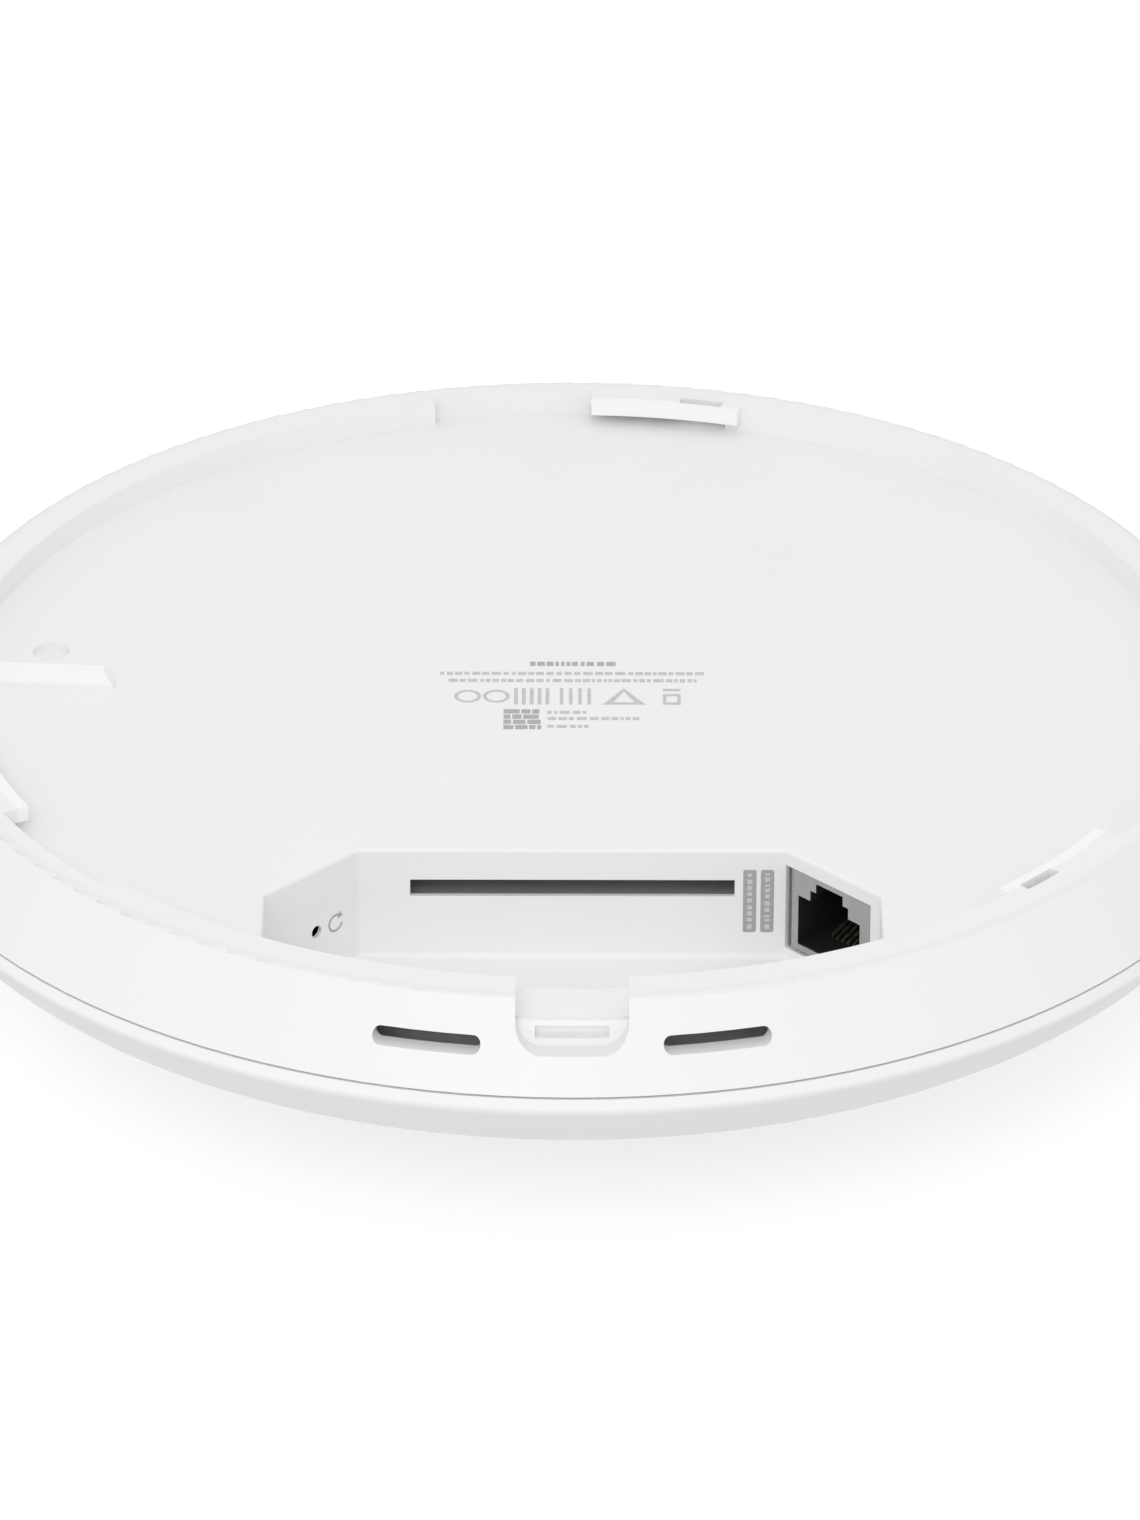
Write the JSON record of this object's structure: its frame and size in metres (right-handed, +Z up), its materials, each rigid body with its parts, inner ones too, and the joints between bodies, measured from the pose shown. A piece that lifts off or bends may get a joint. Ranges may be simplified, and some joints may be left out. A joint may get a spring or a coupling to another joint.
{
  "type": "ceiling wireless access point",
  "caption": "Round domed ceiling wireless access point with a bayonet mounting recess, a cable bay with a network jack, a release notch, air slots and an inner cooling blower.",
  "frame": {"origin": "centre of the mounting recess, on the plane of the rim that meets the ceiling", "axes": "+Z up to the ceiling, square to the rim; the cable bay and the release notch lie towards -Y; +X is on the right when the bay faces the viewer and the rim is up"},
  "size_m": [0.206, 0.206, 0.046],
  "materials": {
    "white_cover": "fine matte moulded texture",
    "white_dome": "smooth satin moulded surface",
    "seal": "matte",
    "light_guide": "milky translucent, satin",
    "circuit_board": "solder mask, semi-gloss",
    "led": "clear lens",
    "plated_steel": "bright zinc plated",
    "cast_aluminium": "as die-cast, satin",
    "tinned_shield": "tin plated sheet",
    "chip": "moulded epoxy",
    "thermal_pad": "soft, matte",
    "antenna_metal": "stamped, tin plated",
    "coax": "smooth jacket",
    "jack_metal": "nickel plated sheet",
    "black_plastic": "moulded",
    "grey_plastic": "moulded, matte",
    "gold_contact": "gold plated spring wire",
    "anodised": "extruded and anodised",
    "ferrite": "pressed and sintered, matte",
    "winding": "enamelled copper wire",
    "capacitor_can": "sleeved can",
    "magnet": "bonded ferrite, matte",
    "steel": "ground",
    "bearing_bronze": "sintered, oil filled",
    "plug_plastic": "natural nylon"
  },
  "bodies": {
    "housing": {"antenna_high_band_1": "antenna_metal", "antenna_high_band_2": "antenna_metal", "antenna_lead_1": "coax", "antenna_lead_2": "coax", "antenna_lead_3": "coax", "antenna_lead_4": "coax", "antenna_lead_5": "coax", "antenna_lead_6": "coax", "antenna_low_band_1": "antenna_metal", "antenna_low_band_2": "antenna_metal", "antenna_mid_band_1": "antenna_metal", "antenna_mid_band_2": "antenna_metal", "board_screws": "plated_steel", "chassis_plate": "cast_aluminium", "fan_bearing": "bearing_bronze", "fan_coils": "winding", "fan_connector": "plug_plastic", "fan_cover": "black_plastic", "fan_driver_board": "circuit_board", "fan_frame": "black_plastic", "fan_lead": "coax", "fan_screws": "plated_steel", "fan_stator": "steel", "front_dome": "white_dome", "heatsink_pins": "plug_plastic", "indicator_board": "circuit_board", "indicator_lead": "plug_plastic", "indicator_leds": "led", "indicator_screws": "plated_steel", "jack_contacts": "gold_contact", "jack_insert": "black_plastic", "jack_shell": "jack_metal", "light_ring": "light_guide", "main_board": "circuit_board", "memory_chips": "chip", "network_transformer": "chip", "outlet_duct": "grey_plastic", "parting_seal": "seal", "power_capacitors": "capacitor_can", "power_inductors": "ferrite", "power_transformer_coil": "winding", "power_transformer_core": "ferrite", "processor_chip": "chip", "processor_heatsink": "anodised", "processor_pad": "thermal_pad", "radio_chip_1": "chip", "radio_chip_2": "chip", "radio_chip_3": "chip", "radio_shield_1": "tinned_shield", "radio_shield_2": "tinned_shield", "radio_shield_3": "tinned_shield", "rear_cover": "white_cover", "reset_snap_disc": "steel", "reset_switch": "black_plastic", "thermal_pads": "thermal_pad"},
    "fan_rotor": {"fan_impeller": "black_plastic", "fan_magnet": "magnet", "fan_shaft": "steel"},
    "reset_button": {"reset_plunger": "black_plastic"}
  },
  "joints": [
    {"name": "fan_spin", "type": "hinge", "parent": "housing", "child": "fan_rotor", "pos_m": [0, 0.024, -0.013], "axis": [0, 0, 1], "continuous": true},
    {"name": "reset_press", "type": "slide", "parent": "housing", "child": "reset_button", "axis": [-0.7071, 0.7071, 0], "range_m": [0, 0.0003], "stiffness_N_per_m": 4000}
  ]
}
